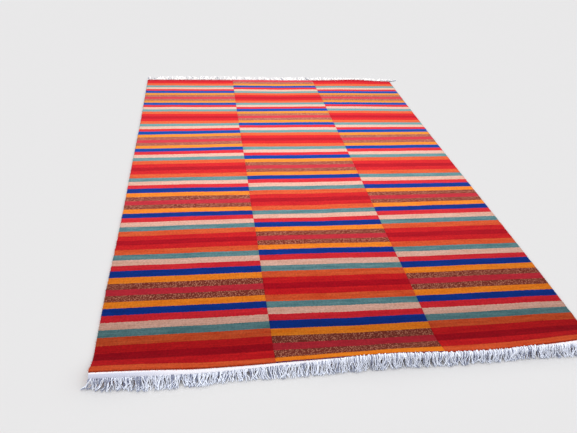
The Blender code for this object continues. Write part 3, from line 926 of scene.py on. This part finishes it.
loose_cotton = cotton_yarn()
twisted_yarn = yarn_tree()
ends_of_warp = []
for side, end in (("near", -1), ("far", 1)):
    paths, tones, rises, edge_line = fringe_paths(side, end)
    yarns = make(f"fringe_yarns_{side}", chains(paths, tones, rises), twisted_yarn, {
        "Radius": YARN_RADIUS, "Tip share": YARN_TIP, "Ply depth": PLY_DEPTH, "Turns": YARN_TURNS,
        "Curl": CURL, "Curls per metre": CURLS_PER_METRE, "Lowest": YARN_RADIUS + FLOOR_CLEARANCE,
        "Steps": YARN_STEPS[end], "Fibre": loose_cotton,
    })
    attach(yarns, "root")
    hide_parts(f"fringe_{side}")
    cord = make(f"knotted_edge_{side}", chains([edge_line], [EDGE_CORD_TONE], [0.0]), twisted_yarn, {
        "Radius": EDGE_CORD_RADIUS, "Tip share": 1.0, "Ply depth": PLY_DEPTH, "Turns": EDGE_CORD_TURNS,
        "Curl": 0.0, "Curls per metre": 0.0, "Lowest": EDGE_CORD_RADIUS, "Steps": EDGE_CORD_STEPS,
        "Fibre": loose_cotton,
    })
    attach(cord, "root")
    ends_of_warp.append([yarns, cord])

# The studio is a plain pale floor under soft light. The floor, the pile and the cotton of each
# end are lit apart. The pile has one lamp more, above the rug's far part, because its nap throws
# more light back there than at the near end.

FLOOR_HALF_WIDTH, FLOOR_DROP, FLOOR_COLOUR = 40.0, 0.0008, (0.80, 0.795, 0.80, 1.0)
FLOOR_ROUGHNESS, FLOOR_SHINE = 0.9, 0.1
SURROUND_STRENGTH = 0.81
DOME_ANGLE = math.radians(150)
FLOOR_LIGHT, NEAR_COTTON_LIGHT, FAR_COTTON_LIGHT, PILE_LIGHT = 3.2, 5.3, 8.8, 1.8
FAR_COTTON_TINT = (1.0, 0.915, 0.78)
LIGHT_PLACE = Vector((0.0, 0.0, 5.0))
PILE_LAMP_PLACE, PILE_LAMP_POWER = Vector((0.0, 1.2, 4.2)), 820.0
PILE_LAMP_CONE, PILE_LAMP_RADIUS = math.radians(80), 0.6


def lamp(name, kind, place, receivers, **settings):
    """Soft lamp, pointing straight down, that lights only the pieces named."""
    light = bpy.data.lights.new(name, kind)
    for setting, value in settings.items():
        setattr(light, setting, value)
    holder = bpy.data.objects.new(name, light)
    holder.location = place
    bpy.context.scene.collection.objects.link(holder)
    lit = bpy.data.collections.new(f"lit by {name}")
    for piece in receivers:
        lit.objects.link(piece)
    holder.light_linking.receiver_collection = lit


floor_material = bpy.data.materials.new("pale floor")
floor_material.use_nodes = True
floor_shader = floor_material.node_tree.nodes["Principled BSDF"]
floor_shader.inputs["Base Color"].default_value = FLOOR_COLOUR
floor_shader.inputs["Roughness"].default_value = FLOOR_ROUGHNESS
floor_shader.inputs["Specular IOR Level"].default_value = FLOOR_SHINE
floor_mesh = bpy.data.meshes.new("floor")
floor_corners = [
    (x * FLOOR_HALF_WIDTH, y * FLOOR_HALF_WIDTH, -FLOOR_DROP)
    for x, y in ((-1, -1), (1, -1), (1, 1), (-1, 1))
]
floor_mesh.from_pydata(floor_corners, [], [(0, 1, 2, 3)])
floor_mesh.materials.append(floor_material)
floor = bpy.data.objects.new("floor", floor_mesh)
bpy.context.scene.collection.objects.link(floor)

world = bpy.data.worlds.new("soft white surround")
world.use_nodes = True
world.node_tree.nodes["Background"].inputs["Color"].default_value = (1.0, 1.0, 1.0, 1.0)
world.node_tree.nodes["Background"].inputs["Strength"].default_value = SURROUND_STRENGTH
world.cycles_visibility.diffuse = False
world.cycles_visibility.glossy = False
bpy.context.scene.world = world
lamp("floor light", "SUN", LIGHT_PLACE, [floor], energy=FLOOR_LIGHT, angle=DOME_ANGLE)
near_cotton, far_cotton = [[heading, *ends] for heading, ends in zip(headings, ends_of_warp)]
lamp("near cotton light", "SUN", LIGHT_PLACE, near_cotton, energy=NEAR_COTTON_LIGHT, angle=DOME_ANGLE)
lamp("far cotton light", "SUN", LIGHT_PLACE, far_cotton, energy=FAR_COTTON_LIGHT, angle=DOME_ANGLE,
     color=FAR_COTTON_TINT)
lamp("pile light", "SUN", LIGHT_PLACE, [knotted_pile, rim_tufts], energy=PILE_LIGHT, angle=DOME_ANGLE)
lamp("pile lamp", "SPOT", PILE_LAMP_PLACE, [knotted_pile, rim_tufts], energy=PILE_LAMP_POWER,
     spot_size=PILE_LAMP_CONE, spot_blend=1.0, shadow_soft_size=PILE_LAMP_RADIUS)

# The camera stands at the near end, a little to the left, at a standing person's eye height. It
# looks down along the rug, turned a little to its right, and is slightly rolled.

CAMERA_PLACE = Vector((-0.5724, -2.8541, 1.6272))
LOOK_DOWN, TURN_RIGHT, ROLL = (math.radians(angle) for angle in (34.016, 10.266, 4.327))
LENS_MM, SENSOR_MM, FARTHEST_SEEN = 34.307, 36.0, 200.0

camera = bpy.data.objects.new("camera", bpy.data.cameras.new("camera"))
camera.data.lens = LENS_MM
camera.data.sensor_width = SENSOR_MM
camera.data.clip_end = FARTHEST_SEEN
turned = Matrix.Rotation(-TURN_RIGHT, 4, "Z") @ Matrix.Rotation(math.pi / 2 - LOOK_DOWN, 4, "X")
camera.matrix_world = Matrix.Translation(CAMERA_PLACE) @ turned @ Matrix.Rotation(ROLL, 4, "Z")
bpy.context.scene.collection.objects.link(camera)
bpy.context.scene.camera = camera
bpy.context.scene.view_settings.view_transform = "Standard"
